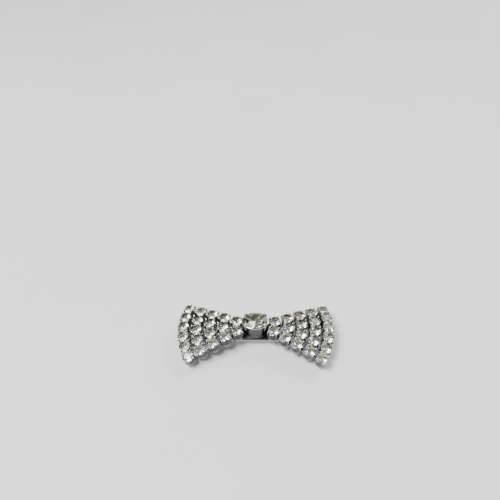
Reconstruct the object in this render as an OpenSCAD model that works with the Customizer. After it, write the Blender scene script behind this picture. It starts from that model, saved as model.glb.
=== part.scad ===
// Bow brooch: two domed wings of round stones in separate cups, a raised oval stone at the knot,
// and a hinged pin with a roll-over catch behind. Millimetres. +X runs along the bow, +Y to its
// upper edge and +Z out of its face; the origin is below the middle of its outline, on the
// surface that it lies on.

/* [Wing stones] */
// Diameter of a round stone across its girdle
stone_d = 3.35; // [2.6:0.05:3.8]
// Height of the crown above the girdle
stone_crown_h = 0.5; // [0.35:0.05:0.7]
// Depth of the pavilion below the girdle
stone_pavilion_h = 1.3; // [1.0:0.05:1.6]
// Gap between neighbouring stones in one column
stone_gap = 0.06; // [0.05:0.01:0.3]

/* [Bow] */
// Number of stone columns in each wing
column_count = 5; // [2:1:5]
// Stones in the column next to the knot; each further column has one more
first_column_stones = 2; // [1:1:2]
// Gap between the stones of one column and those of the next
column_gap = 0.59; // [0.5:0.01:1.4]
// Distance between the knot stone and the first column's stones, seen from above
knot_gap = 0.37; // [0.35:0.01:1.2]
// Angle at which each wing's middle line drops from the line through the knot
droop = 4.5; // [0:0.5:8]
// Radius of the wings' dome along the bow, measured at the girdles
dome_long_r = 180; // [70:1:200]
// Radius of the wings' dome across the bow, measured at the girdles
dome_cross_r = 40; // [20:0.5:60]

/* [Cups] */
// Wall thickness of a stone's cup
cup_wall = 0.26; // [0.2:0.01:0.35]
// Depth from a stone's girdle to the face of the back plate
cup_h = 2.8; // [2.1:0.05:3.2]
// Distance from a stone's girdle down to the rim of its cup
rim_drop = 0.3; // [0.25:0.01:0.4]
// Radius of a claw's wire
claw_r = 0.18; // [0.14:0.01:0.22]
// Radius of the bead at a claw's tip
bead_r = 0.28; // [0.22:0.01:0.3]
// Angle of each claw from the line through the knot
claw_angle = 42; // [35:1:50]

/* [Back plates] */
// Thickness of a wing's back plate
plate_t = 0.7; // [0.5:0.05:1.2]
// Diameter of the light hole behind each stone
light_hole_d = 1.9; // [1.2:0.1:2.2]
// Thickness of the strap that joins the wings behind the knot
bridge_t = 0.6; // [0.5:0.05:1.0]
// Width of that strap's ledge on each side of the knot's collet
bridge_ledge = 0.3; // [0.1:0.05:1]
// Length of the strap's lap under each wing, past the middle of its first column
bridge_lap = 1.6; // [1:0.1:3]
// Height of the wings' lowest corners above the surface that the brooch lies on
corner_clear = 0.1; // [0.05:0.05:0.5]

/* [Knot] */
// Length of the oval stone
knot_l = 7.5; // [6:0.1:9]
// Width of the oval stone
knot_w = 5.6; // [4.5:0.1:7]
// Height of the oval stone's crown
knot_crown_h = 0.95; // [0.6:0.05:1.4]
// Depth of the oval stone's pavilion
knot_pavilion_h = 1.9; // [1.4:0.05:2.4]
// Height of the oval stone's girdle above the wings' girdles at the knot
knot_rise = 2; // [1.8:0.1:5]
// Radius of a knot claw's wire
knot_claw_r = 0.3; // [0.22:0.01:0.4]
// Radius of the bead at a knot claw's tip
knot_bead_r = 0.4; // [0.3:0.01:0.5]
// Wall thickness of the knot's collet
collet_wall = 0.34; // [0.25:0.01:0.5]
// How far the collet's foot stands inside the stone's edge
collet_taper = 0.75; // [0.4:0.05:1.2]
// Height of the rail round the top of the collet
rail_h = 0.34; // [0.2:0.02:0.5]
// How far that rail stands out past the stone's edge
rail_out = 0.12; // [0.05:0.01:0.3]

/* [Pin and catch] */
// Diameter of the pin's wire
wire_d = 0.8; // [0.7:0.05:1.0]
// Height of the catch above the surface
catch_clear = 0.05; // [0.05:0.05:0.5]
// Diameter of the hinge rivet
rivet_d = 0.8; // [0.6:0.05:1.0]
// Radial running clearance of the pin's eye on the rivet
eye_clear = 0.04; // [0.02:0.01:0.08]
// Wall of the pin's eye round the rivet
eye_wall = 0.42; // [0.3:0.01:0.6]
// Thickness of each ear of the hinge
ear_t = 0.6; // [0.5:0.05:0.9]
// Side clearance between the eye and an ear
side_clear = 0.05; // [0.03:0.01:0.1]
// Length of the catch's barrel along the pin
catch_l = 2.4; // [2:0.1:3.5]
// Wall thickness of that barrel
barrel_wall = 0.42; // [0.3:0.01:0.6]
// Radial running clearance of the turning sleeve in its barrel
sleeve_clear = 0.05; // [0.03:0.01:0.08]
// Wall thickness of the turning sleeve
sleeve_wall = 0.27; // [0.22:0.01:0.35]
// Radial clearance of the pin inside the sleeve
pin_clear = 0.11; // [0.08:0.01:0.2]
// Length of the pin's point
taper_l = 6; // [5:0.5:8]
// Length of the turning sleeve's thumb tab
tab_l = 1.35; // [1:0.05:1.6]
// Length of the foot of the hinge and of the catch, along the bow
foot_l = 2.4; // [2:0.1:3]
// Width of those feet
foot_w = 3.6; // [3:0.1:5]

/* [Hidden] */
$fn = 72;
SIDES = ["left", "right"];
COLUMNS = [0:column_count - 1];
MAINS = 8;                 // main facets round a brilliant cut
solder = 0.02;             // film of solder between two pieces that are soldered together
sink = 0.3;                // how far a cutting tool passes through a face
table_ratio = 0.56;        // table width as a share of the girdle's
star_ratio = 0.5;          // how far a star facet reaches towards the girdle
lower_ratio = 0.3;         // where the lower girdle facets end, as a share of the girdle radius

// Stones and cups
girdle_t = 0.06;           // thickness of a stone's girdle
seat_clear = 0.03;         // gap between a stone's pavilion and the edge that it sits on
claw_clear = 0.015;        // gap between a claw and the girdle beside it
claw_foot_rise = 0.1;      // height of a claw's lower end above the back plate
claw_lean = 0.02;          // how far a claw leans out past the girdle
bead_in = 0.09;            // how far a bead's centre stands in from its claw
bead_lift = 0.02;          // height of a bead's underside above the girdle
link_r = 0.35;             // radius of the bar between neighbouring cups
link_rise = 0.55;          // height of that bar above the back plate
stone_r = stone_d / 2;
stone_pitch = stone_d + stone_gap;
column_pitch = stone_d + column_gap;
first_column_r = knot_l / 2 + knot_gap + stone_r;
cup_r = stone_r + seat_clear;
cup_in_r = cup_r - cup_wall;

// Wing dome: a torus whose outer side is the surface through the stones' girdles
dome_major_r = dome_long_r - dome_cross_r;
back_h = cup_h + plate_t;

function side_sign(side) = side == "left" ? -1 : 1;
function column_r(c) = first_column_r + c * column_pitch;
function column_stones(c) = first_column_stones + c;
// Direction of a stone from the knot, measured up from the line through it
function stone_angle(c, j) =
    ((column_stones(c) - 1) / 2 - j) * stone_pitch / column_r(c) * 180 / PI - droop;

// Dome angles of the stone: across the bow, then along it
function cross_angle(c, j) = asin(column_r(c) * sin(stone_angle(c, j)) / dome_cross_r);
function long_angle(side, c, j) =
    asin(side_sign(side) * column_r(c) * cos(stone_angle(c, j))
        / (dome_major_r + dome_cross_r * cos(cross_angle(c, j))));

// Point at height h over the girdle surface, below which the apex is at height 0
function dome_point(a, b, h) = [
    (dome_major_r + (dome_cross_r + h) * cos(b)) * sin(a),
    (dome_cross_r + h) * sin(b),
    (dome_major_r + (dome_cross_r + h) * cos(b)) * cos(a) - dome_long_r
];
// Height of the back plates' rear face over the point (x, y), with the apex of the girdles at 0
function back_height(x, y) =
    let (b = asin(y / (dome_cross_r - back_h)))
    let (r = dome_major_r + (dome_cross_r - back_h) * cos(b))
    sqrt(r * r - x * x) - dome_long_r;

// The lower outer corner of a wing is its lowest point
last_c = column_count - 1;
last_j = column_stones(last_c) - 1;
corner_a = long_angle("right", last_c, last_j);
corner_b = cross_angle(last_c, last_j);
corner_tilt = acos(cos(corner_a) * cos(corner_b));
corner_low = dome_point(corner_a, corner_b, -back_h)[2] - cup_r * sin(corner_tilt);

// The knot's distance from the middle of the outline, which lies halfway between the outer corners
knot_y = -dome_cross_r * (sin(cross_angle(last_c, 0)) + sin(corner_b)) / 2;

// Knot
knot_rim_drop = 0.4;       // from the oval stone's girdle down to the collet's rim
rail_bulge = 0.06;         // crown of the rail's outer face
rail_step = 0.1;           // height of the slope under the rail
knot_claw_top = 0.25;      // height of a knot claw's wire above the girdle
knot_bead_in = 0.1;        // how far a knot bead's centre stands in from its claw
knot_bead_lift = 0.08;     // height of a knot bead's underside above the girdle
knot_claw_low = 0.6;       // from the wings' girdles down to a knot claw's lower end

// Catch and hinge
foot_t = 0.2;              // least thickness of the foot of the hinge and of the catch
ear_margin = 0.2;          // how far an ear stands out past the eye
eye_top_clear = 0.1;       // gap between the pin's eye and the foot above it
ear_corner = 0.5;          // radius of an ear's lower corners
rivet_head_t = 0.22;       // height of each of the rivet's heads
rivet_head_over = 0.22;    // how far a rivet head stands out past the rivet
collar_over = 0.18;        // how far the wire's collar stands out past the wire, beside the eye
collar_end_over = 0.08;    // how far it stands out at its thin end
eye_edge = 0.02;           // how far the eye stands out past the collar on each side
collar_past = 0.85;        // length of that collar past the ears
flange_t = 0.35;           // thickness of each flange on the sleeve
flange_over = 0.3;         // how far a flange stands out past the barrel's bore
end_clear = 0.05;          // gap between a flange and the barrel's end
tab_t = 0.5;               // thickness of the thumb tab
tab_lip = 0.5;             // how far the tab's edge stands out past its flange
tab_root = 0.1;            // how far the tab starts outside the sleeve's bore
tab_angle = 12;            // how far the tab leans up from the pin's plane at rest
tip_over = 1.9;            // how far the pin's point stands out past the catch
tip_r = 0.08;              // radius of the point's blunt end
wire_r = wire_d / 2;
rivet_r = rivet_d / 2;
sleeve_in_r = wire_r + pin_clear;
sleeve_r = sleeve_in_r + sleeve_wall;
barrel_in_r = sleeve_r + sleeve_clear;
barrel_r = barrel_in_r + barrel_wall;
flange_r = barrel_in_r + flange_over;
slot_w = 2 * sleeve_in_r;
eye_r = rivet_r + eye_clear + eye_wall;
eye_w = wire_d + 2 * (collar_over + eye_edge);
ear_r = eye_r + ear_margin;
collar_l = ear_r + collar_past;
fitting_x = first_column_r + (column_count / 2) * column_pitch;
pin_z = max(barrel_r, eye_r + ear_margin) + catch_clear;
fitting_top = pin_z + max(barrel_r, eye_r + eye_top_clear);
fitting_low = back_height(fitting_x + foot_l / 2, foot_w / 2 + knot_y);

// Height of the girdles' apex: the corners clear the surface and the fittings fit under the back
apex_z = max(corner_clear - corner_low, fitting_top + foot_t - fitting_low);
knot_z = apex_z + knot_rise;

function stone_name(side, c, j) = str(side, "_stone_", c + 1, "_", j + 1);
function column_name(side, c) = str(side, "_cups_", c + 1);
function plate_name(side) = str(side, "_back_plate");

// --- Helpers -------------------------------------------------------------------------------

// Stands its children on the dome: their Z is the dome's normal, their X points away from the knot
module at_stone(side, c, j) {
    a = long_angle(side, c, j);
    b = cross_angle(c, j);
    roll = side == "left" ? 180 - stone_angle(c, j) : stone_angle(c, j);
    translate([0, knot_y, apex_z])
        translate(dome_point(a, b, 0))
            rotate([0, a, 0])
                rotate([-b, 0, 0])
                    rotate([0, 0, roll])
                        children();
}

// Everything under the surface that lies h below the girdles
module dome_solid(h) {
    translate([0, knot_y, apex_z - dome_long_r])
        rotate([90, 0, 0])
            rotate_extrude($fn = 480)
                translate([dome_major_r, 0])
                    circle(r = dome_cross_r - h, $fn = 240);
}

// Round rod between two points
module rod(p, q, r) {
    d = q - p;
    translate(p)
        rotate([0, acos(d[2] / norm(d)), atan2(d[1], d[0])])
            cylinder(r = r, h = norm(d));
}

// Brilliant cut with its girdle's upper edge at z = 0: table, stars, kites, upper and lower
// girdle facets and pavilion mains, all flat, and oval when the two radii differ
module brilliant(rx, ry, crown_h, pavilion_h) {
    step = 360 / MAINS;
    star_r = table_ratio * cos(step / 2) * (1 - star_ratio) + star_ratio;
    star_z = crown_h * (1 - (star_r * cos(step / 2) - table_ratio) / (1 - table_ratio));
    lower_z = -girdle_t - pavilion_h * (1 - lower_ratio * cos(step / 2));
    ring = function (count, start, r, z)
        [for (i = [0:count - 1])
            let (t = start + i * 360 / count)
            [rx * r * cos(t), ry * r * sin(t), z]];
    points = concat(
        ring(MAINS, 0, table_ratio, crown_h),
        ring(MAINS, step / 2, star_r, star_z),
        ring(2 * MAINS, 0, 1, 0),
        ring(2 * MAINS, 0, 1, -girdle_t),
        ring(MAINS, step / 2, lower_ratio, lower_z),
        [[0, 0, -girdle_t - pavilion_h]]
    );
    table = function (i) i % MAINS;
    star = function (i) MAINS + (i + MAINS) % MAINS;
    upper = function (k) 2 * MAINS + k % (2 * MAINS);
    lower = function (k) 4 * MAINS + k % (2 * MAINS);
    half = function (i) 6 * MAINS + (i + MAINS) % MAINS;
    culet = 7 * MAINS;
    faces = concat(
        [[for (i = [MAINS - 1:-1:0]) table(i)]],
        [for (i = [0:MAINS - 1]) [table(i), star(i), upper(2 * i), star(i - 1)]],
        [for (i = [0:MAINS - 1]) [table(i), table(i + 1), star(i)]],
        [for (i = [0:MAINS - 1]) for (k = [0, 1]) [star(i), upper(2 * i + k + 1), upper(2 * i + k)]],
        [for (k = [0:2 * MAINS - 1]) [upper(k), upper(k + 1), lower(k + 1), lower(k)]],
        [for (i = [0:MAINS - 1]) for (k = [0, 1]) [half(i), lower(2 * i + k), lower(2 * i + k + 1)]],
        [for (i = [0:MAINS - 1]) [culet, half(i - 1), lower(2 * i), half(i)]]
    );
    polyhedron(points = points, faces = faces);
}

// --- Wings ---------------------------------------------------------------------------------

module wing_stone(side, c, j) {
    color([0.86, 0.88, 0.87])
        at_stone(side, c, j)
            brilliant(stone_r, stone_r, stone_crown_h, stone_pavilion_h);
}

// Claw: a wire that leans out from the cup's wall, with a bead that bends over the crown
module claw() {
    top_x = stone_r + claw_clear + claw_r;
    foot_x = cup_in_r + claw_r;
    bead_z = bead_r + bead_lift;
    rod([foot_x, 0, claw_foot_rise - cup_h], [top_x + claw_lean, 0, bead_z / 2], claw_r);
    translate([top_x - bead_in, 0, bead_z])
        sphere(r = bead_r);
}

// Bar that joins the cups of two neighbouring stones in a column
module cup_link(side, c, j) {
    h = link_rise - cup_h;
    translate([0, knot_y, apex_z])
        rod(
            dome_point(long_angle(side, c, j), cross_angle(c, j), h),
            dome_point(long_angle(side, c, j + 1), cross_angle(c, j + 1), h),
            link_r
        );
}

module cup_column(side, c) {
    stones = column_stones(c);
    color([0.72, 0.73, 0.74])
        difference() {
            union() {
                for (j = [0:stones - 1])
                    at_stone(side, c, j) {
                        translate([0, 0, -cup_h - sink])
                            cylinder(r = cup_r, h = cup_h + sink - rim_drop);
                        for (t = [claw_angle, 180 - claw_angle, 180 + claw_angle, -claw_angle])
                            rotate([0, 0, t])
                                claw();
                    }
                if (stones > 1)
                    for (j = [0:stones - 2])
                        cup_link(side, c, j);
            }
            for (j = [0:stones - 1])
                at_stone(side, c, j)
                    translate([0, 0, -cup_h - 2 * sink])
                        cylinder(r = cup_in_r, h = cup_h + 3 * sink - rim_drop);
            dome_solid(cup_h - solder);
        }
}

// Outline through the stones' bases: up one edge of the wing, round its end and back
function wing_base(side, c, j) = dome_point(long_angle(side, c, j), cross_angle(c, j), -back_h);
function wing_outline(side) = concat(
    [for (c = [0:column_count - 1]) wing_base(side, c, 0)],
    [for (j = [1:column_stones(column_count - 1) - 1]) wing_base(side, column_count - 1, j)],
    [for (c = [column_count - 2:-1:0]) wing_base(side, c, column_stones(c) - 1)]
);

module wing_plate(side) {
    color([0.70, 0.71, 0.72])
        difference() {
            intersection() {
                difference() {
                    dome_solid(cup_h);
                    dome_solid(back_h);
                }
                union() {
                    linear_extrude(height = apex_z + sink)
                        polygon([for (p = wing_outline(side)) [p[0], p[1] + knot_y]]);
                    for (c = COLUMNS)
                        for (j = [0:column_stones(c) - 1])
                            at_stone(side, c, j)
                                translate([0, 0, -back_h - sink])
                                    cylinder(r = cup_r, h = back_h);
                }
            }
            for (c = COLUMNS)
                for (j = [0:column_stones(c) - 1])
                    at_stone(side, c, j)
                        translate([0, 0, -back_h - sink])
                            cylinder(d = light_hole_d, h = back_h);
        }
}

// --- Knot ----------------------------------------------------------------------------------

module knot_stone() {
    color([0.84, 0.86, 0.85])
        translate([0, knot_y, knot_z])
            brilliant(knot_l / 2, knot_w / 2, knot_crown_h, knot_pavilion_h);
}

// Sizes of the collet across its width, with its heights measured from the oval stone's girdle
knot_oval = knot_l / knot_w;
collet_seat_r = knot_w / 2 * (1 - (knot_rim_drop - girdle_t) / knot_pavilion_h) + 2 * seat_clear;
collet_rail_r = knot_w / 2 + rail_out;
collet_foot_r = knot_w / 2 - collet_taper;
collet_neck_z = -knot_rim_drop - rail_h - rail_step;
collet_foot_z = -knot_rise - back_h - sink;
function collet_r(z) =
    let (share = (z - collet_neck_z) / (collet_foot_z - collet_neck_z))
    collet_seat_r + (collet_foot_r - collet_seat_r) * share + collet_wall;

// One claw of the knot: it rises against the collet's wall and ends in a bead over the crown
module knot_claw(sx, sy) {
    low_z = -knot_rise - knot_claw_low;
    low_r = collet_r(low_z);
    top = [
        sx * (knot_l / 2 + knot_claw_r + claw_clear) * cos(claw_angle),
        sy * (knot_w / 2 + knot_claw_r + claw_clear) * sin(claw_angle)
    ];
    low = [sx * low_r * knot_oval * cos(claw_angle), sy * low_r * sin(claw_angle)];
    bead = top * (1 - knot_bead_in / norm(top));
    rod([low[0], low[1], low_z], [top[0], top[1], knot_claw_top], knot_claw_r);
    translate([bead[0], bead[1], knot_bead_r + knot_bead_lift])
        sphere(r = knot_bead_r);
}

// Oval collet: a tapering wall with a rail under the stone, four claws, and a foot on the bridge
module knot_collet() {
    rail_z = -knot_rim_drop - rail_h;
    color([0.74, 0.75, 0.76])
        difference() {
            translate([0, knot_y, knot_z])
                union() {
                    scale([knot_oval, 1, 1])
                        rotate_extrude()
                            polygon([
                                [collet_seat_r, -knot_rim_drop],
                                [collet_rail_r, -knot_rim_drop],
                                [collet_rail_r + rail_bulge, -knot_rim_drop - rail_h / 2],
                                [collet_rail_r, rail_z],
                                [collet_seat_r + collet_wall, collet_neck_z],
                                [collet_foot_r + collet_wall, collet_foot_z],
                                [collet_foot_r, collet_foot_z],
                                [collet_seat_r, collet_neck_z]
                            ]);
                    for (sx = [-1, 1])
                        for (sy = [-1, 1])
                            knot_claw(sx, sy);
                }
            dome_solid(back_h - solder);
        }
}

// Strap behind the knot, lapped under both wings' plates
module knot_bridge() {
    reach = first_column_r + bridge_lap;
    bridge_w = 2 * (collet_foot_r + collet_wall + bridge_ledge);
    color([0.70, 0.71, 0.72])
        intersection() {
            difference() {
                dome_solid(back_h + solder);
                dome_solid(back_h + solder + bridge_t);
            }
            translate([0, knot_y, 0])
                linear_extrude(height = apex_z)
                    union() {
                        square([2 * reach - bridge_w, bridge_w], center = true);
                        for (s = [-1, 1])
                            translate([s * (reach - bridge_w / 2), 0])
                                circle(d = bridge_w);
                    }
        }
}

// --- Pin -----------------------------------------------------------------------------------

// Outline of a hinge ear seen from its side: square above, round below, flat where it rests
module ear_outline(top) {
    translate([-ear_r, ear_corner])
        square([2 * ear_r, top - ear_corner]);
    translate([ear_corner - ear_r, 0])
        square([2 * (ear_r - ear_corner), top]);
    for (s = [-1, 1])
        translate([s * (ear_r - ear_corner), ear_corner])
            circle(r = ear_corner);
}

module hinge_bracket() {
    inner = eye_w / 2 + side_clear;
    color([0.74, 0.75, 0.76])
        intersection() {
            dome_solid(back_h + solder);
            difference() {
                translate([-fitting_x, 0, 0])
                    union() {
                        for (y = [-inner, inner + ear_t])
                            translate([0, y, 0])
                                rotate([90, 0, 0])
                                    linear_extrude(height = ear_t)
                                        ear_outline(apex_z);
                        translate([-foot_l / 2, -foot_w / 2, fitting_top])
                            cube([foot_l, foot_w, apex_z]);
                    }
                translate([-fitting_x, 0, pin_z])
                    rotate([90, 0, 0])
                        cylinder(r = rivet_r + solder / 2, h = foot_w, center = true);
            }
        }
}

module hinge_rivet() {
    reach = eye_w / 2 + side_clear + ear_t + solder;
    head_r = rivet_r + rivet_head_over;
    rim = reach + rivet_head_t / 3;
    top = reach + rivet_head_t;
    color([0.78, 0.79, 0.8])
        translate([-fitting_x, 0, pin_z])
            rotate([90, 0, 0])
                rotate_extrude()
                    polygon([
                        [0, -top],
                        [rivet_r, -top],
                        [head_r, -rim],
                        [head_r, -reach],
                        [rivet_r, -reach],
                        [rivet_r, reach],
                        [head_r, reach],
                        [head_r, rim],
                        [rivet_r, top],
                        [0, top]
                    ]);
}

module pin_stem() {
    tip_x = fitting_x + catch_l / 2 + end_clear + flange_t + tip_over;
    color([0.66, 0.67, 0.69])
        translate([-fitting_x, 0, pin_z])
            difference() {
                union() {
                    rotate([90, 0, 0])
                        cylinder(r = eye_r, h = eye_w, center = true);
                    rotate([0, 90, 0])
                        cylinder(r1 = wire_r + collar_over, r2 = wire_r + collar_end_over, h = collar_l);
                    rotate([0, 90, 0])
                        cylinder(r = wire_r, h = fitting_x + tip_x - taper_l);
                    translate([fitting_x + tip_x - taper_l, 0, 0])
                        rotate([0, 90, 0])
                            cylinder(r1 = wire_r, r2 = tip_r, h = taper_l);
                }
                rotate([90, 0, 0])
                    cylinder(r = rivet_r + eye_clear, h = 2 * eye_w, center = true);
            }
}

// Barrel along the pin, open below, on a neck and a foot under the back plate
module catch_base() {
    neck_w = 2 * barrel_in_r + barrel_wall;
    color([0.74, 0.75, 0.76])
        intersection() {
            dome_solid(back_h + solder);
            difference() {
                translate([fitting_x, 0, 0])
                    union() {
                        translate([0, 0, pin_z])
                            rotate([0, 90, 0])
                                cylinder(r = barrel_r, h = catch_l, center = true);
                        translate([-catch_l / 2, -neck_w / 2, pin_z])
                            cube([catch_l, neck_w, apex_z]);
                        translate([-foot_l / 2, -foot_w / 2, fitting_top])
                            cube([foot_l, foot_w, apex_z]);
                    }
                translate([fitting_x, 0, pin_z])
                    rotate([0, 90, 0])
                        cylinder(r = barrel_in_r, h = 2 * catch_l, center = true);
                translate([fitting_x - catch_l, -slot_w / 2, pin_z - 2 * barrel_r])
                    cube([2 * catch_l, slot_w, 2 * barrel_r]);
            }
        }
}

// Sleeve that turns in the barrel round the pin, with a flange at each end and a thumb tab
module catch_sleeve() {
    half = catch_l / 2 + end_clear;
    length = 2 * (half + flange_t);
    tab_reach = sleeve_r - sleeve_in_r + tab_l - tab_t / 2;
    color([0.76, 0.77, 0.78])
        translate([fitting_x, 0, pin_z])
            difference() {
                union() {
                    rotate([0, 90, 0])
                        cylinder(r = sleeve_r, h = length, center = true);
                    for (x = [-half - flange_t, half])
                        translate([x, 0, 0])
                            rotate([0, 90, 0])
                                cylinder(r = flange_r, h = flange_t);
                    rotate([tab_angle, 0, 0])
                        translate([half, sleeve_in_r + tab_root, -tab_t / 2]) {
                            cube([flange_t, tab_reach, tab_t]);
                            translate([0, tab_reach, tab_t / 2])
                                rotate([0, 90, 0])
                                    cylinder(d = tab_t, h = flange_t + tab_lip);
                        }
                }
                rotate([0, 90, 0])
                    cylinder(r = sleeve_in_r, h = 2 * length, center = true);
                translate([-length, -slot_w / 2, -2 * flange_r])
                    cube([2 * length, slot_w, 2 * flange_r]);
            }
}

// --- Assembly ------------------------------------------------------------------------------

for (side = SIDES) {
    for (c = COLUMNS) {
        for (j = [0:column_stones(c) - 1])
            wing_stone(side, c, j);
        cup_column(side, c);
    }
    wing_plate(side);
}
knot_stone();
knot_collet();
knot_bridge();
hinge_bracket();
hinge_rivet();
pin_stem();
catch_base();
catch_sleeve();
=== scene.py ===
"""Bow brooch: crystals, foils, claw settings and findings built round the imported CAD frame."""

import math
import random

import bmesh
import bpy
import numpy as np
from mathutils import Matrix, Vector


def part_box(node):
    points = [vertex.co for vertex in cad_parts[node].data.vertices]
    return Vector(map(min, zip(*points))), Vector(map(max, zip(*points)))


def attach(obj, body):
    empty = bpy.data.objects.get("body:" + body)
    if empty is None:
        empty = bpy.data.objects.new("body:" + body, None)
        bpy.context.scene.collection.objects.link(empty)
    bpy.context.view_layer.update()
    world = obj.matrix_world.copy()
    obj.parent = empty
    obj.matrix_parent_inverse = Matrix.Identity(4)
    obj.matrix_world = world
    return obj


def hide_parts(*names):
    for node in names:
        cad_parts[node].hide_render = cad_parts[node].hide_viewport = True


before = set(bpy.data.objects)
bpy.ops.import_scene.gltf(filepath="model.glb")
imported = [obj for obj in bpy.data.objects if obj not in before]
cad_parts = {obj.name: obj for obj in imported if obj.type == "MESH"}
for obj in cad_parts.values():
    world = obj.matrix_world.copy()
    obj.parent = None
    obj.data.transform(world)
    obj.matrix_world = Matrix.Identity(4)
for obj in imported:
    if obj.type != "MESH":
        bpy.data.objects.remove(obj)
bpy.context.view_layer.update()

MM = 0.001
random.seed(1905)

# --- Sizes in millimetres, as in the CAD model -------------------------------------------------

MAINS = 8                 # main facets round a stone
TABLE_RATIO = 0.56        # table width as a share of the girdle's
STAR_RATIO = 0.8          # how far a star facet reaches towards the girdle
LOWER_RATIO = 0.78        # how far out the lower girdle facets begin
GIRDLE = 0.06             # thickness of a girdle
FACET_BEVEL = 0.012       # width of the worn line between two facets
FOIL_GAP = 0.012          # gap between a pavilion and its foil
FOIL = 0.03               # thickness of the foil
CUP_H = 2.8               # from a girdle down to the back plate
SOLDER = 0.02             # film of solder under a cup
CUP_WALL = 0.26
CUP_CLEAR = 0.03          # how far a cup stands out past the girdle
RIM_DROP = 0.3            # from a girdle down to the cup's rim
CLAW_ANGLE = 42           # angle of each claw from the line through the knot
CLAW = 0.18               # radius of a claw's wire
CLAW_BEAD = 0.28          # radius of a claw's tip
LINK = 0.35               # radius of the bar between neighbouring cups
LINK_RISE = 0.55          # height of that bar above the back plate
PLATE_T = 0.7             # thickness of a back plate
LIGHT_HOLE = 0.95         # radius of the hole behind each stone
KNOT_RISE = 2.0           # from the wings' girdles at the knot up to the knot stone's
KNOT_RIM_DROP = 0.4       # from the knot stone's girdle down to the collet's rim
KNOT_CLAW = 0.3           # radius of a knot claw's wire
KNOT_BEAD = 0.4           # radius of a knot claw's tip
COLLET_WALL = 0.34
COLLET_TAPER = 0.75       # how far the collet's foot stands inside the stone's edge
RAIL_H = 0.34             # height of the rail round the top of the collet
RAIL_OUT = 0.12           # how far the rail stands out past the stone's edge
SOFT_EDGE = 0.05          # width of the rounding on the findings' edges
EDGE_WALL_PAINTED_SHADE = 0.02          # painted shade: brightness of the cup walls along a wing's lower edge, near black
INNER_WALL_PAINTED_SHADE = 0.7          # painted shade: brightness of the cup walls between the columns
SHARP_FINDING = 18        # degrees between faces above which a finding's shading breaks
BEVEL_FROM = 38           # degrees between faces above which a finding's edge is rounded
RIVET_SHANK = 0.6         # rivet's radius under its heads, as a share of a head's
KNOT_BEVEL = 0.02         # width of the worn line between the knot stone's facets
KNOT_FOIL_TONE = 0.9      # brightness of the knot stone's foil
FOIL_TONES = (0.72, 1.0)  # range of brightness of the other stones' foils
TONE_WEAR_AND_SHADE = "tone_wear_and_shade"         # mesh attribute: brightness of the plating, rubbed wear on exposed edges and tips mixed with painted shade in recesses and on walls; on a foil, its silver tone

# --- Mesh helpers ------------------------------------------------------------------------------


def new_bmesh():
    """A bmesh whose vertices carry a brightness from 0 to 1: painted shade low in recesses and on walls,
    rubbed wear high on exposed edges.
    """
    bm = bmesh.new()
    bm.verts.layers.float.new(TONE_WEAR_AND_SHADE)
    return bm


def add_piece(name, bm, material, body, replaces=(), smooth=True, sharp_deg=35):
    """Makes an object from a bmesh in metres, gives it its material and fixes it to its body."""
    bmesh.ops.recalc_face_normals(bm, faces=bm.faces)
    mesh = bpy.data.meshes.new(name)
    bm.to_mesh(mesh)
    bm.free()
    mesh.materials.append(material)
    for face in mesh.polygons:
        face.use_smooth = smooth
    if smooth:
        mesh.set_sharp_from_angle(angle=math.radians(sharp_deg))
    piece = bpy.data.objects.new(name, mesh)
    bpy.context.scene.collection.objects.link(piece)
    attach(piece, body)
    if replaces:
        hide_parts(*replaces)
    return piece


def lathe(bm, profile, transform, segments=40, closed=True):
    """Turns (r, z, brightness) points in millimetres round Z; a closed outline has no point on the axis.
    """
    layer = bm.verts.layers.float[TONE_WEAR_AND_SHADE]
    rings = []
    for r, z, tone_wear_and_shade in profile:
        count = 1 if r < 1e-6 else segments
        ring = []
        for k in range(count):
            t = 2 * math.pi * k / segments
            v = bm.verts.new(transform @ (Vector((r * math.cos(t), r * math.sin(t), z)) * MM))
            v[layer] = tone_wear_and_shade
            ring.append(v)
        rings.append(ring)
    pairs = list(zip(rings, rings[1:]))
    if closed:
        pairs.append((rings[-1], rings[0]))
    for a, b in pairs:
        for k in range(segments):
            n = (k + 1) % segments
            if len(a) == 1:
                bm.faces.new((a[0], b[n], b[k]))
            elif len(b) == 1:
                bm.faces.new((a[k], a[n], b[0]))
            else:
                bm.faces.new((a[k], a[n], b[n], b[k]))


def tube(bm, points, radii, tone_wear_and_shade, transform, sides=14):
    """Sweeps a round section along points in millimetres."""
    layer = bm.verts.layers.float[TONE_WEAR_AND_SHADE]
    rings = []
    last = len(points) - 1
    side = None
    for i, (p, r, share) in enumerate(zip(points, radii, tone_wear_and_shade)):
        along = (points[min(i + 1, last)] - points[max(i - 1, 0)]).normalized()
        if side is None:
            side = along.orthogonal().normalized()
        side = (side - along * side.dot(along)).normalized()
        other = along.cross(side)
        ring = []
        for k in range(sides):
            t = 2 * math.pi * k / sides
            v = bm.verts.new(transform @ ((p + (side * math.cos(t) + other * math.sin(t)) * r) * MM))
            v[layer] = share
            ring.append(v)
        rings.append(ring)
    for a, b in zip(rings, rings[1:]):
        for k in range(sides):
            n = (k + 1) % sides
            bm.faces.new((a[k], a[n], b[n], b[k]))
    bm.faces.new(rings[0][::-1])
    bm.faces.new(rings[-1])


def smooth_path(points, steps=4):
    """Catmull-Rom curve through the points."""
    points = [Vector(p) for p in points]
    padded = [2 * points[0] - points[1], *points, 2 * points[-1] - points[-2]]
    out = []
    for i in range(1, len(padded) - 2):
        a, b, c, d = padded[i - 1:i + 3]
        for k in range(steps):
            t = k / steps
            out.append(0.5 * (2 * b + (c - a) * t + (2 * a - 5 * b + 4 * c - d) * t * t
                              + (3 * b - 3 * c + d - a) * t ** 3))
    out.append(points[-1])
    return out


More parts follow.
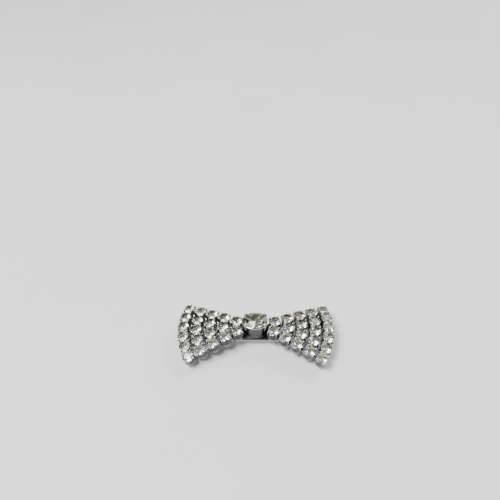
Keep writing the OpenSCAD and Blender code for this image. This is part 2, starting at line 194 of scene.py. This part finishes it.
def claw_wire(bm, route, wire, bead, transform, sides=14):
    """A claw: wire along the route, swelling into a ball at its end."""
    path = smooth_path(route)
    count = len(path)
    swell = 4
    radii = [wire] * (count - swell) + [wire + (bead - wire) * (k + 1) / (swell + 1) for k in range(swell)]
    along = (path[-1] - path[-2]).normalized()
    end = path[-1]
    start = math.asin(min(1, radii[-1] / bead))
    steps = 7
    for k in range(1, steps + 1):
        t = start + (math.pi - start) * k / (steps + 0.35)
        path.append(end + along * bead * (math.cos(start) - math.cos(t)))
        radii.append(bead * math.sin(t))
    # Dark at the claw's foot rising to bright at its tip: painted shade low between the cups, rubbed wear
    # at the exposed tip.
    tone_wear_and_shade = [min(1, max(0.1, 1.25 * i / count - 0.1)) for i in range(len(path))]
    tube(bm, path, radii, tone_wear_and_shade, transform, sides)


def soften(node, material, body, width=SOFT_EDGE):
    """Stands in for a CAD node with the same shape, its sharp edges rounded; the rounded edges' vertices
    get 1 and the rest 0 in the brightness attribute of wear and painted shade.
    """
    bm = new_bmesh()
    bm.from_mesh(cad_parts[node].data)
    layer = bm.verts.layers.float[TONE_WEAR_AND_SHADE]
    bmesh.ops.remove_doubles(bm, verts=bm.verts, dist=1e-7)
    bmesh.ops.dissolve_limit(bm, angle_limit=math.radians(0.5), verts=bm.verts, edges=bm.edges)
    for v in bm.verts:
        v[layer] = 0.0
    sharp = [e for e in bm.edges if e.is_manifold and e.calc_face_angle(0) > math.radians(BEVEL_FROM)]
    made = bmesh.ops.bevel(bm, geom=sharp, offset=width * MM, offset_type="OFFSET", segments=2,
                           profile=0.5, affect="EDGES", clamp_overlap=True)
    for v in made["verts"]:
        v[layer] = 1.0
    return add_piece("soft_" + node, bm, material, body, replaces=[node], sharp_deg=SHARP_FINDING)


# --- Materials ---------------------------------------------------------------------------------


class Nodes:
    """A new material with short calls for adding and joining its nodes."""

    def __init__(self, name):
        self.material = bpy.data.materials.new(name)
        self.material.use_nodes = True
        self.tree = self.material.node_tree
        self.tree.nodes.clear()
        self.shader = self.add("ShaderNodeBsdfPrincipled")
        out = self.add("ShaderNodeOutputMaterial")
        self.join(self.shader.outputs["BSDF"], out.inputs["Surface"])
        self.place = self.add("ShaderNodeTexCoord").outputs["Object"]

    def add(self, kind, **values):
        node = self.tree.nodes.new(kind)
        for key, value in values.items():
            setattr(node, key, value)
        return node

    def join(self, a, b):
        self.tree.links.new(a, b)

    def noise(self, scale, detail=3.0, stretch=None):
        """Noise over the object's own coordinates; scale is features per metre."""
        node = self.add("ShaderNodeTexNoise")
        node.inputs["Scale"].default_value = scale
        node.inputs["Detail"].default_value = detail
        place = self.place
        if stretch:
            mapping = self.add("ShaderNodeMapping")
            mapping.inputs["Scale"].default_value = stretch
            self.join(place, mapping.inputs["Vector"])
            place = mapping.outputs["Vector"]
        self.join(place, node.inputs["Vector"])
        return node.outputs["Fac"]

    def spread(self, value, low, high, from_low=0.3, from_high=0.7):
        node = self.add("ShaderNodeMapRange")
        node.inputs["From Min"].default_value = from_low
        node.inputs["From Max"].default_value = from_high
        node.inputs["To Min"].default_value = low
        node.inputs["To Max"].default_value = high
        self.join(value, node.inputs["Value"])
        return node.outputs["Result"]

    def times(self, a, b):
        node = self.add("ShaderNodeMath", operation="MULTIPLY")
        self.join(a, node.inputs[0])
        self.join(b, node.inputs[1])
        return node.outputs[0]

    def mix(self, factor, a, b):
        """Mixes two colours; each is a tuple or a socket."""
        node = self.add("ShaderNodeMix", data_type="RGBA")
        self.join(factor, node.inputs["Factor"])
        for value, key in ((a, "A"), (b, "B")):
            socket = [s for s in node.inputs if s.name == key and s.type == "RGBA"][0]
            if isinstance(value, tuple):
                socket.default_value = (*value, 1.0)
            else:
                self.join(value, socket)
        return [s for s in node.outputs if s.type == "RGBA"][0]

    def bump(self, height, strength, distance):
        node = self.add("ShaderNodeBump")
        node.inputs["Strength"].default_value = strength
        node.inputs["Distance"].default_value = distance
        self.join(height, node.inputs["Height"])
        self.join(node.outputs["Normal"], self.shader.inputs["Normal"])

    def set(self, **values):
        for key, value in values.items():
            self.shader.inputs[key.replace("_", " ")].default_value = value

    def openness(self, distance, low=0.25, high=0.85):
        """Ambient occlusion mask, 0 in tight recesses and 1 in the open, for painting shade into recesses.
        """
        node = self.add("ShaderNodeAmbientOcclusion", samples=8)
        node.inputs["Distance"].default_value = distance
        return self.spread(node.outputs["AO"], 0.0, 1.0, low, high)

    def attribute(self, name):
        return self.add("ShaderNodeAttribute", attribute_name=name).outputs["Fac"]

    def facing_back(self):
        """1 on faces that look down at the back of the brooch and 0 on its front, for painting shade on
        the front faces.
        """
        split = self.add("ShaderNodeSeparateXYZ")
        self.join(self.add("ShaderNodeNewGeometry").outputs["True Normal"], split.inputs["Vector"])
        return self.spread(split.outputs["Z"], 1.0, 0.0, -0.9, -0.4)


def plated_metal(name, bright, shade_colour, recess, rough=(0.12, 0.26), grain=None, painted_shade_source=None):
    """Rhodium plate that darkens towards a painted shade colour: by the vertex brightness attribute, or
    else by ambient occlusion in recesses, and on back pieces also on faces towards the front.
    """
    n = Nodes(name)
    n.set(Metallic=1.0)
    patches = n.mix(n.spread(n.noise(520, 4), 0, 1), bright, tuple(c * 0.86 for c in bright))
    tone_and_painted_shade = n.spread(n.noise(1900, 3), 0.75, 1.0)
    # Painted shade: the mask darkens the plating by the vertex brightness, else by ambient occlusion in
    # recesses.
    if painted_shade_source == TONE_WEAR_AND_SHADE:
        tone_and_painted_shade = n.times(tone_and_painted_shade, n.attribute(TONE_WEAR_AND_SHADE))
    else:
        tone_and_painted_shade = n.times(tone_and_painted_shade, n.openness(recess))
    # Painted shade: on back pieces every face that looks towards the front takes the dark colour.
    if painted_shade_source == "back":
        tone_and_painted_shade = n.times(tone_and_painted_shade, n.facing_back())
    n.join(n.mix(tone_and_painted_shade, shade_colour, patches), n.shader.inputs["Base Color"])
    n.join(n.spread(n.noise(1300, 5, grain), rough[0], rough[1]), n.shader.inputs["Roughness"])
    n.bump(n.noise(5200, 3, grain), 0.18, 0.00002)
    return n.material


def crystal(name, tint, haze):
    """Clear cut glass with faint polishing haze."""
    n = Nodes(name)
    n.set(IOR=1.56, Transmission_Weight=1.0)
    n.join(n.mix(n.spread(n.noise(260, 2), 0, 1), tint, tuple(c * 0.97 for c in tint)),
           n.shader.inputs["Base Color"])
    n.join(n.spread(n.noise(2400, 4), 0.0, haze), n.shader.inputs["Roughness"])
    return n.material


def foil(name, silver, lacquer):
    """Silver foil on the back of a stone, with bronze lacquer behind it."""
    n = Nodes(name)
    n.set(Metallic=1.0)
    tone = n.attribute(TONE_WEAR_AND_SHADE)
    clouds = n.mix(n.spread(n.noise(900, 3), 0, 1), silver, tuple(c * 0.8 for c in silver))
    n.join(n.mix(tone, lacquer, clouds), n.shader.inputs["Base Color"])
    n.join(n.spread(n.noise(1700, 3), 0.10, 0.24), n.shader.inputs["Roughness"])
    n.bump(n.noise(2600, 2), 0.12, 0.00003)
    return n.material


# Painted shade: near black, taken by the settings and knot bridge in recesses, on dark walls and on front
# faces.
PAINTED_SHADE_BLACK = (0.035, 0.035, 0.038)
SETTING = plated_metal("rhodium_setting", (0.86, 0.86, 0.84), PAINTED_SHADE_BLACK, 0.0011, painted_shade_source=TONE_WEAR_AND_SHADE)
BACK = plated_metal("rhodium_back", (0.74, 0.74, 0.73), PAINTED_SHADE_BLACK, 0.0012, rough=(0.2, 0.36), painted_shade_source="back")
# The plate's mid grey, and the fittings' and steel's darker greys, are painted shade in recesses and, on
# the plate, on its front faces.
PLATE = plated_metal("rhodium_plate", (0.74, 0.74, 0.73), (0.3, 0.3, 0.3), 0.0012, rough=(0.2, 0.36),
                     painted_shade_source="back")
FITTING = plated_metal("rhodium_fitting", (0.80, 0.80, 0.79), (0.2, 0.2, 0.2), 0.0006)
STEEL = plated_metal("drawn_steel", (0.66, 0.67, 0.69), (0.3, 0.3, 0.31), 0.0004, rough=(0.16, 0.34),
                     grain=(0.06, 1.0, 1.0))
CRYSTAL = crystal("crystal", (0.96, 0.955, 0.90), 0.02)
KNOT_CRYSTAL = crystal("knot_crystal", (0.90, 0.90, 0.84), 0.02)
FOIL_SILVER = foil("silver_foil", (0.77, 0.76, 0.71), (0.42, 0.30, 0.16))

# --- Stones ------------------------------------------------------------------------------------


def stone_frame(node):
    """Where a CAD stone lies: centre of its girdle, outward normal, and its sizes in millimetres."""
    points = np.unique(np.array([v.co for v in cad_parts[node].data.vertices]).round(8), axis=0)
    middle = points.mean(axis=0)
    _, axes = np.linalg.eigh(np.cov((points - middle).T))
    normal = Vector(axes[:, 0])
    if normal.z < 0:
        normal.negate()
    offsets = [Vector(p - middle) for p in points]
    heights = [d.dot(normal) for d in offsets]
    radii = [(d - normal * h).length for d, h in zip(offsets, heights)]
    widest = max(radii)
    girdle = max(h for h, r in zip(heights, radii) if r > 0.99 * widest)
    return {
        "centre": Vector(middle) + normal * girdle,
        "normal": normal,
        "radius": widest / MM,
        "crown": (max(heights) - girdle) / MM,
        "depth": (girdle - min(heights)) / MM - GIRDLE,
    }


def stone_matrix(place):
    """Stone's own frame: Z is its normal and X points away from the knot."""
    out = place["centre"] - knot["centre"]
    z = place["normal"]
    x = (out - z * out.dot(z)).normalized()
    return Matrix.Translation(place["centre"]) @ Matrix((x, z.cross(x), z)).transposed().to_4x4()


def brilliant_rings(rx, ry, crown, depth):
    """Corners of a brilliant cut, ring by ring from the table down, in millimetres."""
    step = 2 * math.pi / MAINS
    star_r = TABLE_RATIO * math.cos(step / 2) * (1 - STAR_RATIO) + STAR_RATIO
    star_z = crown * (1 - (star_r * math.cos(step / 2) - TABLE_RATIO) / (1 - TABLE_RATIO))
    lower_z = -GIRDLE - depth * (1 - LOWER_RATIO * math.cos(step / 2))

    def ring(count, start, r, z):
        turns = [start + 2 * math.pi * i / count for i in range(count)]
        return [Vector((rx * r * math.cos(t), ry * r * math.sin(t), z)) for t in turns]

    return {
        "table": ring(MAINS, 0, TABLE_RATIO, crown),
        "star": ring(MAINS, step / 2, star_r, star_z),
        "upper": ring(2 * MAINS, 0, 1, 0),
        "lower": ring(2 * MAINS, 0, 1, -GIRDLE),
        "half": ring(MAINS, step / 2, LOWER_RATIO, lower_z),
        "culet": [Vector((0, 0, -GIRDLE - depth))],
    }


def build_brilliant(bm, transform, rx, ry, crown, depth, bevel):
    """Table, stars, kites, upper and lower girdle facets and pavilion mains, with worn edges."""
    rings = brilliant_rings(rx, ry, crown, depth)
    v = {key: [bm.verts.new(transform @ (p * MM)) for p in points] for key, points in rings.items()}
    bm.faces.new(v["table"])
    for i in range(MAINS):
        j = (i + 1) % MAINS
        bm.faces.new((v["table"][i], v["star"][i - 1], v["upper"][2 * i], v["star"][i]))
        bm.faces.new((v["table"][i], v["star"][i], v["table"][j]))
        bm.faces.new((v["culet"][0], v["half"][i], v["lower"][2 * i], v["half"][i - 1]))
        for a in (2 * i, 2 * i + 1):
            b = (a + 1) % (2 * MAINS)
            bm.faces.new((v["star"][i], v["upper"][a], v["upper"][b]))
            bm.faces.new((v["half"][i], v["lower"][b], v["lower"][a]))
            bm.faces.new((v["upper"][a], v["lower"][a], v["lower"][b], v["upper"][b]))
    bmesh.ops.bevel(bm, geom=bm.edges, offset=bevel * MM, offset_type="OFFSET", segments=1,
                    profile=0.5, affect="EDGES", clamp_overlap=True)


def build_foil(bm, transform, rx, ry, depth, tone):
    """Thin faceted cone just below a pavilion: silver inside, lacquered outside."""
    layer = bm.verts.layers.float[TONE_WEAR_AND_SHADE]
    inner = brilliant_rings(rx, ry, 0.1, depth)
    edge = 0.94
    rims = []
    for drop, tone_wear_and_shade in ((FOIL_GAP, tone), (FOIL_GAP + FOIL, 0.0)):
        def place(p):
            v = bm.verts.new(transform @ ((p - Vector((0, 0, 1.4 * drop))) * MM))
            v[layer] = tone_wear_and_shade
            return v
        rim = []
        for p in inner["lower"]:
            q = p * edge
            q.z = -GIRDLE - depth * (1 - edge)
            rim.append(place(q))
        half = [place(p) for p in inner["half"]]
        tip = place(inner["culet"][0])
        rims.append(rim)
        for i in range(MAINS):
            bm.faces.new((tip, half[i], rim[2 * i], half[i - 1]))
            for a in (2 * i, 2 * i + 1):
                bm.faces.new((half[i], rim[(a + 1) % (2 * MAINS)], rim[a]))
    for k in range(2 * MAINS):
        n = (k + 1) % (2 * MAINS)
        bm.faces.new((rims[0][k], rims[0][n], rims[1][n], rims[1][k]))


def make_stone(node, place):
    bm = bmesh.new()
    turn = Matrix.Rotation(random.uniform(0, 2 * math.pi / MAINS), 4, "Z")
    place["turned"] = stone_matrix(place) @ turn
    build_brilliant(bm, place["turned"], place["radius"], place["radius"], place["crown"],
                    place["depth"], FACET_BEVEL)
    add_piece("crystal_" + node, bm, CRYSTAL, "bow", replaces=[node], smooth=False)


def make_foils(name, members):
    bm = new_bmesh()
    for place in members:
        build_foil(bm, place["turned"], place["radius"], place["radius"], place["depth"],
                   random.uniform(*FOIL_TONES))
    add_piece(name, bm, FOIL_SILVER, "bow", smooth=False)


# --- Settings ----------------------------------------------------------------------------------


def build_cup(bm, transform, radius, wall_painted_shade):
    """Round cup with a soft rim and a fillet of solder; the last argument is the painted shade on its
    side, and its inside is painted dark as shade.
    """
    outer = radius + CUP_CLEAR
    inner = outer - CUP_WALL
    foot = SOLDER - CUP_H
    lathe(bm, [
        (inner, foot, 0.0),
        (outer + 0.09, foot, 0.4),
        (outer + 0.05, foot + 0.04, 0.4),
        (outer + 0.015, foot + 0.11, 0.35),
        (outer, foot + 0.24, wall_painted_shade),
        (outer, -1.2, wall_painted_shade),
        (outer, -RIM_DROP - 0.12, wall_painted_shade),
        (outer - 0.015, -RIM_DROP - 0.02, 0.35),
        (outer - 0.05, -RIM_DROP, 0.35),
        (inner + 0.03, -RIM_DROP, 0.2),
        (inner, -RIM_DROP - 0.03, 0.0),
    ], transform)


def build_claw(bm, transform, radius, angle):
    """Wire claw that rises beside the girdle and bends over the crown."""
    side = radius + 0.015 + CLAW
    foot = radius + CUP_CLEAR - CUP_WALL + CLAW
    claw_wire(bm, [
        (foot, 0, 0.15 - CUP_H),
        (foot + 0.1, 0, -1.6),
        (side, 0, -0.45),
        (side + 0.01, 0, 0.0),
        (side - 0.05, 0, 0.2),
        (side - 0.14, 0, 0.3),
    ], CLAW, CLAW_BEAD, transform @ Matrix.Rotation(math.radians(angle), 4, "Z"))


def make_setting(node, members):
    """The row of cups that holds one column of stones, with four claws to each."""
    bm = new_bmesh()
    for place in members:
        transform = stone_matrix(place)
        # Painted shade: cups on a wing's lower edge get near-black walls, the others lighter ones.
        at_edge = place["centre"].y < min(p["centre"].y for p in members) + MM
        build_cup(bm, transform, place["radius"], EDGE_WALL_PAINTED_SHADE if at_edge else INNER_WALL_PAINTED_SHADE)
        for angle in (CLAW_ANGLE, 180 - CLAW_ANGLE, 180 + CLAW_ANGLE, -CLAW_ANGLE):
            build_claw(bm, transform, place["radius"], angle)
    # Bars between neighbouring cups, kept dark as painted shade low between the cups.
    low = LINK_RISE - CUP_H
    for a, b in zip(members, members[1:]):
        ends = [(p["centre"] / MM + p["normal"] * low) for p in (a, b)]
        steps = [ends[0].lerp(ends[1], t) for t in (0.2, 0.4, 0.6, 0.8)]
        tube(bm, steps, [LINK] * 4, [0.15] * 4, Matrix.Identity(4))
    add_piece("setting_" + node, bm, SETTING, "bow", replaces=[node], sharp_deg=40)


def make_hole_rims(side, members):
    """Raised lip round the back of every light hole."""
    bm = new_bmesh()
    back = -CUP_H - PLATE_T
    for place in members:
        # Brighter on the lip's crest as rubbed wear, darker where it meets the plate as painted shade.
        lathe(bm, [
            (LIGHT_HOLE, back + 0.05, 0.4),
            (LIGHT_HOLE, back - 0.03, 0.7),
            (LIGHT_HOLE + 0.04, back - 0.07, 1.0),
            (LIGHT_HOLE + 0.12, back - 0.07, 1.0),
            (LIGHT_HOLE + 0.17, back - 0.03, 0.7),
            (LIGHT_HOLE + 0.18, back + 0.05, 0.4),
        ], stone_matrix(place))
    add_piece(f"hole_rims_{side}", bm, SETTING, "bow", sharp_deg=50)


def make_rivet():
    """Hinge rivet with a domed head at each end."""
    low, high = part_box("hinge_rivet")
    middle = (low + high) / 2
    head = (high.x - low.x) / 2 / MM
    top = (high.y - low.y) / 2 / MM
    low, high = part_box("hinge_bracket")
    ear = (high.y - low.y) / 2 / MM
    under = min(ear, top - 0.2)
    shank = head * RIVET_SHANK
    dome = [(0, -top, 1.0)]
    for k in range(1, 7):
        t = math.pi / 2 * k / 6
        dome.append((head * math.sin(t), -under - (top - under) * math.cos(t), 1.0))
    profile = dome + [(shank, -under + 0.02, 0.2)]
    profile += [(r, -z, tone_wear_and_shade) for r, z, tone_wear_and_shade in reversed(profile)]
    bm = new_bmesh()
    turn = Matrix.Translation(middle) @ Matrix.Rotation(math.radians(90), 4, "X")
    lathe(bm, profile, turn, segments=48, closed=False)
    add_piece("domed_rivet", bm, FITTING, "bow", replaces=["hinge_rivet"], sharp_deg=50)


def make_collet(place, rx, ry):
    """Oval collet with a rail under the stone, four claws and a fillet at its foot."""
    bm = new_bmesh()
    oval = Matrix.Translation(place["centre"]) @ Matrix.Diagonal((rx / ry, 1, 1, 1))
    seat = ry * (1 - (KNOT_RIM_DROP - GIRDLE) / place["depth"]) + 0.06
    rail = ry + RAIL_OUT
    neck_z = -KNOT_RIM_DROP - RAIL_H - 0.1
    foot_z = -KNOT_RISE - CUP_H - PLATE_T + SOLDER
    foot = ry - COLLET_TAPER
    # Bright rail over a near-black wall and inside: the wall's darkness is painted shade; the foot's
    # fillet is mid-bright.
    lathe(bm, [
        (seat, -KNOT_RIM_DROP, 0.3),
        (rail - 0.05, -KNOT_RIM_DROP, 0.9),
        (rail, -KNOT_RIM_DROP - 0.04, 1.0),
        (rail + 0.05, -KNOT_RIM_DROP - RAIL_H * 0.35, 1.0),
        (rail + 0.05, -KNOT_RIM_DROP - RAIL_H * 0.65, 0.9),
        (rail, -KNOT_RIM_DROP - RAIL_H + 0.04, 0.5),
        (rail - 0.05, -KNOT_RIM_DROP - RAIL_H, 0.2),
        (seat + COLLET_WALL + 0.03, neck_z, 0.04),
        (seat + COLLET_WALL, neck_z - 0.1, 0.04),
        ((seat + foot) / 2 + COLLET_WALL, (neck_z + foot_z) / 2, 0.04),
        (foot + COLLET_WALL, foot_z + 0.25, 0.06),
        (foot + COLLET_WALL + 0.03, foot_z + 0.1, 0.4),
        (foot + COLLET_WALL + 0.12, foot_z, 0.4),
        (foot, foot_z, 0.0),
        (seat, neck_z, 0.0),
    ], oval, segments=96)
    angle = math.radians(CLAW_ANGLE)
    for sx in (-1, 1):
        for sy in (-1, 1):
            def spot(out_x, out_y, z):
                return (sx * (rx + out_x) * math.cos(angle), sy * (ry + out_y) * math.sin(angle), z)
            gap = KNOT_CLAW + 0.015
            low = COLLET_WALL - 0.45
            claw_wire(bm, [
                spot(low, low, -KNOT_RISE - 0.6),
                spot(gap - 0.2, gap - 0.2, -1.6),
                spot(gap, gap, -0.4),
                spot(gap, gap, 0.1),
                spot(gap - 0.1, gap - 0.1, 0.32),
                spot(gap - 0.26, gap - 0.26, 0.44),
            ], KNOT_CLAW, KNOT_BEAD, Matrix.Translation(place["centre"]), sides=20)
    add_piece("setting_knot", bm, SETTING, "bow", replaces=["knot_collet"], sharp_deg=40)


# --- The brooch --------------------------------------------------------------------------------

knot = stone_frame("knot_stone")
knot["normal"] = Vector((0, 0, 1))
stone_nodes = sorted(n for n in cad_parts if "_stone_" in n)
places = {n: stone_frame(n) for n in stone_nodes}
columns = {}
for n in stone_nodes:
    side, _, column, _ = n.split("_")
    columns.setdefault((side, column), []).append(places[n])

for n in stone_nodes:
    make_stone(n, places[n])
for (side, column), members in columns.items():
    make_setting(f"{side}_cups_{column}", members)
    make_foils(f"foil_{side}_{column}", members)
for side in ("left", "right"):
    make_hole_rims(side, [p for (s, _), members in columns.items() if s == side for p in members])

low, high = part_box("knot_stone")
knot_rx, knot_ry = (high.x - low.x) / 2 / MM, (high.y - low.y) / 2 / MM
knot_at = Matrix.Translation(knot["centre"])
bm = bmesh.new()
build_brilliant(bm, knot_at, knot_rx, knot_ry, knot["crown"], knot["depth"], KNOT_BEVEL)
add_piece("crystal_knot", bm, KNOT_CRYSTAL, "bow", replaces=["knot_stone"], smooth=False)
bm = new_bmesh()
build_foil(bm, knot_at, knot_rx, knot_ry, knot["depth"], KNOT_FOIL_TONE)
add_piece("foil_knot", bm, FOIL_SILVER, "bow", smooth=False)
make_collet(knot, knot_rx, knot_ry)

for n, material, body, slot in (
    ("knot_bridge", BACK, "bow", "rhodium_back"),
    ("left_back_plate", PLATE, "bow", "rhodium_back"),
    ("right_back_plate", PLATE, "bow", "rhodium_back"),
    ("hinge_bracket", FITTING, "bow", "fittings"),
    ("catch_base", FITTING, "bow", "fittings"),
    ("catch_sleeve", FITTING, "catch_lever", "fittings"),
    ("pin_stem", STEEL, "pin", "pin_steel"),
):
    soften(n, material, body)
make_rivet()

# --- Stage, light and camera -------------------------------------------------------------------

FLOOR_HALF = 2.0          # half the floor's width, in metres
FLOOR_DROP = 0.00002      # gap under the brooch, in metres
CAMERA_ELEVATION = 54.5   # degrees above the brooch's own plane
CAMERA_AZIMUTH = 2.8
CAMERA_ROLL = -1.75
CAMERA_DISTANCE = 0.1488  # metres from the knot's foot
AIM_UP = 8.42             # degrees that the camera looks past the brooch
AIM_SIDE = 0.62


def make_floor():
    n = Nodes("pale_floor")
    n.join(n.mix(n.spread(n.noise(14, 3), 0, 1), (0.78, 0.78, 0.77), (0.74, 0.74, 0.73)),
           n.shader.inputs["Base Color"])
    n.join(n.spread(n.noise(60, 2), 0.55, 0.7), n.shader.inputs["Roughness"])
    bm = bmesh.new()
    bmesh.ops.create_grid(bm, x_segments=4, y_segments=4, size=FLOOR_HALF)
    mesh = bpy.data.meshes.new("floor")
    bm.to_mesh(mesh)
    bm.free()
    mesh.materials.append(n.material)
    floor = bpy.data.objects.new("floor", mesh)
    floor.location.z = -FLOOR_DROP
    bpy.context.scene.collection.objects.link(floor)


def add_softbox(name, place, size, power):
    light = bpy.data.lights.new(name, "AREA")
    light.shape = "RECTANGLE"
    light.size, light.size_y = size
    light.energy = power
    lamp = bpy.data.objects.new(name, light)
    lamp.location = place
    lamp.rotation_mode = "QUATERNION"
    lamp.rotation_quaternion = (-Vector(place)).to_track_quat("-Z", "Y")
    bpy.context.scene.collection.objects.link(lamp)


def make_world():
    world = bpy.data.worlds.new("studio")
    world.use_nodes = True
    background = world.node_tree.nodes["Background"]
    background.inputs["Color"].default_value = (0.80, 0.82, 0.84, 1)
    background.inputs["Strength"].default_value = 0.4
    bpy.context.scene.world = world


def make_camera():
    """The photograph's angle: above the front edge, with the brooch low in the frame."""
    elevation, azimuth, roll = (math.radians(d) for d in (CAMERA_ELEVATION, CAMERA_AZIMUTH, CAMERA_ROLL))
    aim_up, aim_side = math.radians(AIM_UP), math.radians(AIM_SIDE)
    back = Vector((math.sin(azimuth) * math.cos(elevation), -math.cos(azimuth) * math.cos(elevation),
                   math.sin(elevation)))
    right = Vector((math.cos(azimuth), math.sin(azimuth), 0))
    up = back.cross(right)
    x = right * math.cos(roll) + up * math.sin(roll)
    y = up * math.cos(roll) - right * math.sin(roll)
    sight = Matrix((x, y, back)).transposed()
    target = knot["centre"] - Vector((0, 0, KNOT_RISE * MM))
    turn = Matrix.Rotation(aim_up, 3, "X") @ Matrix.Rotation(aim_side, 3, "Y")
    data = bpy.data.cameras.new("camera")
    data.lens = 36
    data.sensor_width = 36
    data.clip_start = 0.005
    data.clip_end = 20
    camera = bpy.data.objects.new("camera", data)
    camera.matrix_world = Matrix.Translation(target + back * CAMERA_DISTANCE) @ (sight @ turn).to_4x4()
    bpy.context.scene.collection.objects.link(camera)
    bpy.context.scene.camera = camera


make_floor()
make_world()
add_softbox("key", (-0.24, -0.12, 0.6), (0.3, 0.24), 8)
add_softbox("fill", (0.45, 0.45, 0.5), (0.5, 0.5), 5)
make_camera()
